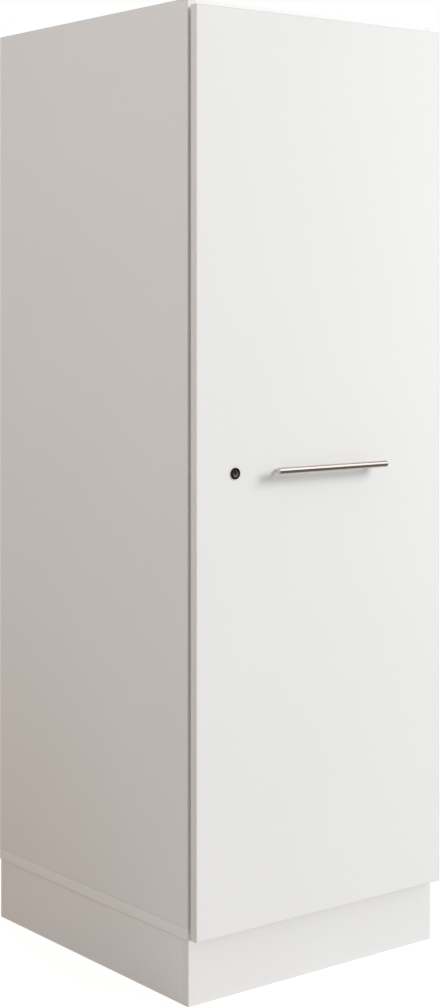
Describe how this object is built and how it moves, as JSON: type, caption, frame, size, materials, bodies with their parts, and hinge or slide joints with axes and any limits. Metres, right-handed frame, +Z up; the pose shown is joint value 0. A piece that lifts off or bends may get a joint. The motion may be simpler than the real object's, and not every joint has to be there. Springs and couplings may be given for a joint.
{
  "type": "washing machine cabinet",
  "caption": "Tall white board cabinet that houses a stacked washing machine and dryer behind one full-height locking door, on a plinth.",
  "frame": {"origin": "on the floor, midway between the sides and midway from the front of the handle to the back of the carcass", "axes": "+Z up, +Y from the door to the back, +X to the right seen from the front"},
  "size_m": [0.67, 0.773, 2],
  "materials": {
    "white_board": "white melamine-faced chipboard, fine matt texture",
    "door_board": "white melamine-faced chipboard, smooth satin face",
    "white_edging": "white plastic edging strip",
    "beech": "plain sanded beech",
    "zinc_plated_steel": "bright zinc plating",
    "nickel_plated_steel": "satin nickel plating",
    "white_painted_steel": "white powder coat",
    "satin_steel": "fine brushed stainless steel",
    "black_plastic": "moulded black plastic",
    "lock_metal": "nickel-plated zinc casting",
    "white_nylon": "moulded nylon",
    "grey_rubber": "soft rubber"
  },
  "bodies": {
    "carcass": {"side_panel_left": "white_board", "side_panel_right": "white_board", "top_panel": "white_board", "bottom_board": "white_board", "mid_shelf": "white_board", "back_panel_lower": "white_board", "back_panel_upper": "white_board", "back_rail_bottom": "white_board", "back_rail_middle": "white_board", "back_rail_top": "white_board", "plinth_front": "white_board", "plinth_back": "white_board", "plinth_left": "white_board", "plinth_right": "white_board", "plinth_bearers": "white_board", "carcass_edging": "white_edging", "carcass_dowels": "beech", "plinth_dowels": "beech", "plinth_blocks": "beech", "top_cam_bolts": "zinc_plated_steel", "top_cams": "zinc_plated_steel", "bottom_board_screws": "zinc_plated_steel", "back_panel_screws": "zinc_plated_steel", "shelf_angle_screws": "zinc_plated_steel", "plinth_screws": "zinc_plated_steel", "hinge_plate_screws": "zinc_plated_steel", "hinge_clamp_screws": "zinc_plated_steel", "hinge_adjusters": "zinc_plated_steel", "rod_keepers": "zinc_plated_steel", "rod_keeper_screws": "zinc_plated_steel", "hinge_arms": "nickel_plated_steel", "hinge_plates": "nickel_plated_steel", "shelf_angles": "white_painted_steel"},
    "door": {"door_panel": "door_board", "door_edging": "white_edging", "door_buffers": "grey_rubber", "hinge_cups": "nickel_plated_steel", "hinge_cup_screws": "zinc_plated_steel", "hinge_pins": "zinc_plated_steel", "handle_bar": "satin_steel", "handle_posts": "satin_steel", "handle_screws": "zinc_plated_steel", "lock_rosette": "black_plastic", "lock_barrel": "lock_metal", "lock_case": "zinc_plated_steel", "lock_case_screws": "zinc_plated_steel", "rod_guides": "white_nylon", "rod_guide_screws": "zinc_plated_steel"},
    "lock_spindle": {"lock_plug": "lock_metal", "lock_pinion": "lock_metal"},
    "upper_rod": {"lock_rod_upper": "zinc_plated_steel"},
    "lower_rod": {"lock_rod_lower": "zinc_plated_steel"}
  },
  "joints": [
    {"name": "door_swing", "type": "hinge", "parent": "carcass", "child": "door", "pos_m": [0.3225, -0.3408, 1.0605], "axis": [0, 0, 1], "range_deg": [0, 105]},
    {"name": "lock_turn", "type": "hinge", "parent": "door", "child": "lock_spindle", "pos_m": [-0.2365, -0.3235, 1.054], "axis": [0, 1, 0], "range_deg": [0, 180]},
    {"name": "upper_rod_slide", "type": "slide", "parent": "door", "child": "upper_rod", "axis": [0, 0, 1], "range_m": [0, 0.0157]},
    {"name": "lower_rod_slide", "type": "slide", "parent": "door", "child": "lower_rod", "axis": [0, 0, -1], "range_m": [0, 0.0158]}
  ],
  "couplings": [
    {"joint": "lock_turn", "follows": "upper_rod_slide", "rad_per_m": 200},
    {"joint": "lower_rod_slide", "follows": "upper_rod_slide", "ratio": 1}
  ]
}
